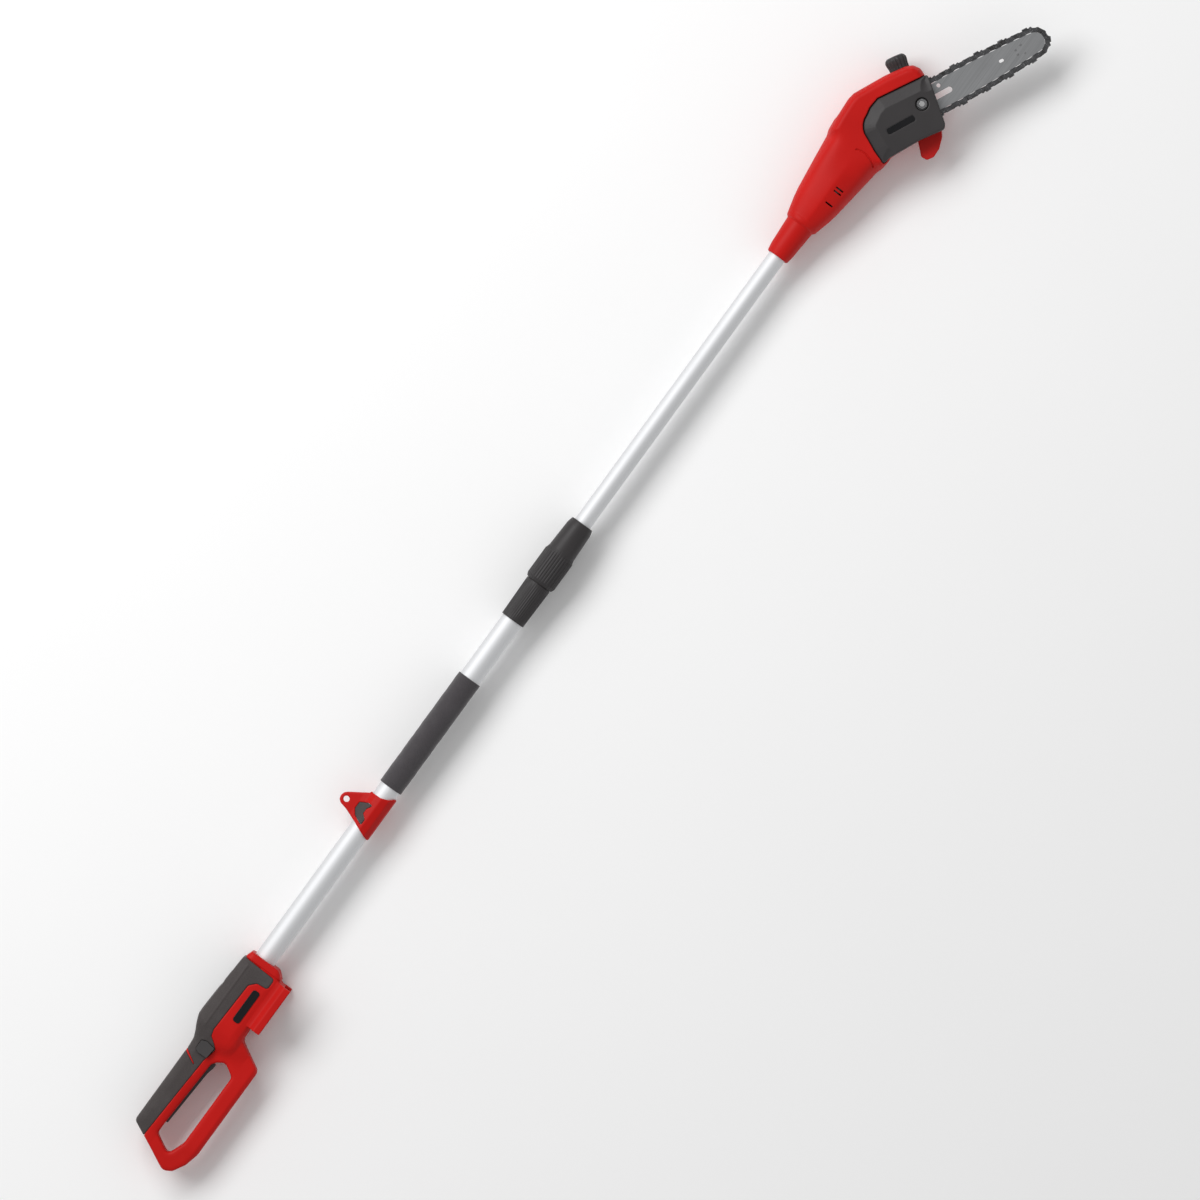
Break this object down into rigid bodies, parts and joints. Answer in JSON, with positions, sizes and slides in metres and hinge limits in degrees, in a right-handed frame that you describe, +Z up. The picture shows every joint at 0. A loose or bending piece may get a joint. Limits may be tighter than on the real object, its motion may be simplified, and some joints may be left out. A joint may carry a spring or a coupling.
{
  "type": "telescoping pole saw",
  "caption": "Battery pole saw with a D-shaped rear handle, telescoping aluminium pole with twist lock, and an angled saw head with guide bar and chain",
  "frame": {"origin": "under the middle of the whole saw, which lies on the flat right side of its head and handle at full reach", "axes": "+X runs along the pole from the handle to the saw head, +Y is the side of the hand grip and the oil cap, +Z is up, towards the sprocket cover"},
  "size_m": [2.0431, 0.1891, 0.078],
  "materials": {
    "red_plastic": "moulded, slight texture",
    "grip_rubber": "matt, fine texture",
    "black_plastic": "moulded, fine grain",
    "badge_black": "gloss",
    "foam": "matt closed-cell foam",
    "pale_plastic": "moulded",
    "cable_sheath": "smooth",
    "hose": "smooth",
    "tube_aluminium": "satin anodised",
    "cast_aluminium": "as cast",
    "bright_steel": "zinc plated",
    "gear_steel": "machined",
    "rotor_copper": "enamelled windings",
    "contact_brass": "bright",
    "bar_steel": "ground and brushed",
    "chain_steel": "dark oiled steel"
  },
  "bodies": {
    "handle": {"handle_shell_left": "red_plastic", "handle_shell_right": "red_plastic", "grip_rubber_left": "grip_rubber", "grip_rubber_right": "grip_rubber", "handle_screws": "bright_steel", "handle_badges": "badge_black", "battery_dock": "black_plastic", "contact_blades": "contact_brass", "switch_body": "black_plastic", "trigger_pin": "bright_steel", "trigger_spring": "bright_steel", "lock_off_spring": "bright_steel", "switch_leads": "cable_sheath", "lower_tube": "tube_aluminium", "foam_grip": "foam", "lock_sleeve": "black_plastic", "collet": "pale_plastic", "coiled_cable": "cable_sheath"},
    "trigger": {"trigger": "black_plastic"},
    "switch_plunger": {"switch_plunger": "pale_plastic"},
    "lock_off_button": {"lock_off_button": "black_plastic"},
    "sling_bracket": {"sling_bracket_left": "red_plastic", "sling_bracket_right": "red_plastic", "sling_insert": "black_plastic", "sling_bolt": "bright_steel"},
    "lock_nut": {"lock_nut": "black_plastic"},
    "saw_head": {"upper_tube": "tube_aluminium", "tube_guide": "pale_plastic", "head_lead": "cable_sheath", "head_shell_left": "red_plastic", "head_shell_right": "red_plastic", "head_screws": "bright_steel", "head_badge": "badge_black", "motor_can": "bright_steel", "motor_end_bell": "black_plastic", "bearings": "bright_steel", "gear_housing": "cast_aluminium", "oil_tank": "pale_plastic", "oil_pump": "pale_plastic", "oil_hoses": "hose", "bar_stud": "bright_steel", "sprocket_cover": "black_plastic", "branch_hook": "red_plastic", "chain_drive_links": "chain_steel", "chain_tie_straps": "chain_steel", "chain_cutters": "chain_steel", "chain_rivets": "bright_steel"},
    "rotor": {"armature": "rotor_copper", "pinion": "gear_steel"},
    "drive": {"bevel_gear": "gear_steel", "sprocket_shaft": "bright_steel", "drive_sprocket": "gear_steel", "retaining_clip": "bright_steel"},
    "oil_cap": {"oil_cap": "black_plastic", "cap_gasket": "grip_rubber"},
    "guide_bar": {"guide_bar": "bar_steel", "tension_block": "bright_steel"},
    "nose_sprocket": {"nose_sprocket": "gear_steel"},
    "tension_screw": {"tension_screw": "bright_steel"},
    "cover_nut": {"cover_nut": "gear_steel"}
  },
  "joints": [
    {"name": "telescope", "type": "slide", "parent": "handle", "child": "saw_head", "axis": [1, 0, 0], "range_m": [-0.43, 0], "deforming": ["coiled_cable"]},
    {"name": "lock_turn", "type": "hinge", "parent": "handle", "child": "lock_nut", "pos_m": [0.018, 0.045, 0.036], "axis": [1, 0, 0], "range_deg": [0, 90]},
    {"name": "trigger_pull", "type": "hinge", "parent": "handle", "child": "trigger", "pos_m": [-0.956, 0.028, 0.036], "axis": [0, 0, 1], "range_deg": [0, 2.4], "stiffness_Nm_per_rad": 4, "springref_deg": -2.86},
    {"name": "plunger_slide", "type": "slide", "parent": "handle", "child": "switch_plunger", "axis": [0, 1, 0], "range_m": [0, 0.00332], "stiffness_N_per_m": 60, "springref_m": -0.0005},
    {"name": "lock_off_press", "type": "slide", "parent": "handle", "child": "lock_off_button", "axis": [0, 0, 1], "range_m": [-0.004, 0], "stiffness_N_per_m": 500, "springref_m": 0.001, "deforming": ["lock_off_spring"]},
    {"name": "sling_slide", "type": "slide", "parent": "handle", "child": "sling_bracket", "axis": [1, 0, 0], "range_m": [-0.19, 0]},
    {"name": "motor_spin", "type": "hinge", "parent": "saw_head", "child": "rotor", "pos_m": [0.69, 0.033, 0.036], "axis": [1, 0, 0], "continuous": true},
    {"name": "sprocket_spin", "type": "hinge", "parent": "saw_head", "child": "drive", "pos_m": [0.7757, 0.033, 0.036], "axis": [0, 0, 1], "continuous": true},
    {"name": "nose_spin", "type": "hinge", "parent": "guide_bar", "child": "nose_sprocket", "pos_m": [0.99983, -0.07151, 0.0575], "axis": [0, 0, 1], "continuous": true},
    {"name": "bar_tension", "type": "slide", "parent": "saw_head", "child": "guide_bar", "axis": [0.9063, -0.4226, 0], "range_m": [-0.003, 0]},
    {"name": "tension_turn", "type": "hinge", "parent": "saw_head", "child": "tension_screw", "pos_m": [0.8248, -0.00369, 0.0522], "axis": [0.9063, -0.4226, 0], "range_deg": [-1351, 0]},
    {"name": "cap_turn", "type": "hinge", "parent": "saw_head", "child": "oil_cap", "pos_m": [0.857, 0.059, 0.033], "axis": [0.5, 0.866, 0], "range_deg": [0, 120]},
    {"name": "nut_turn", "type": "hinge", "parent": "saw_head", "child": "cover_nut", "pos_m": [0.83325, 0.00616, 0.073], "axis": [0, 0, 1], "range_deg": [0, 720]}
  ],
  "couplings": [
    {"joint": "sprocket_spin", "follows": "motor_spin", "ratio": -0.33333},
    {"joint": "nose_spin", "follows": "motor_spin", "ratio": -0.33333},
    {"joint": "plunger_slide", "follows": "trigger_pull", "m_per_rad": 0.078},
    {"joint": "tension_turn", "follows": "bar_tension", "rad_per_m": 7854}
  ]
}
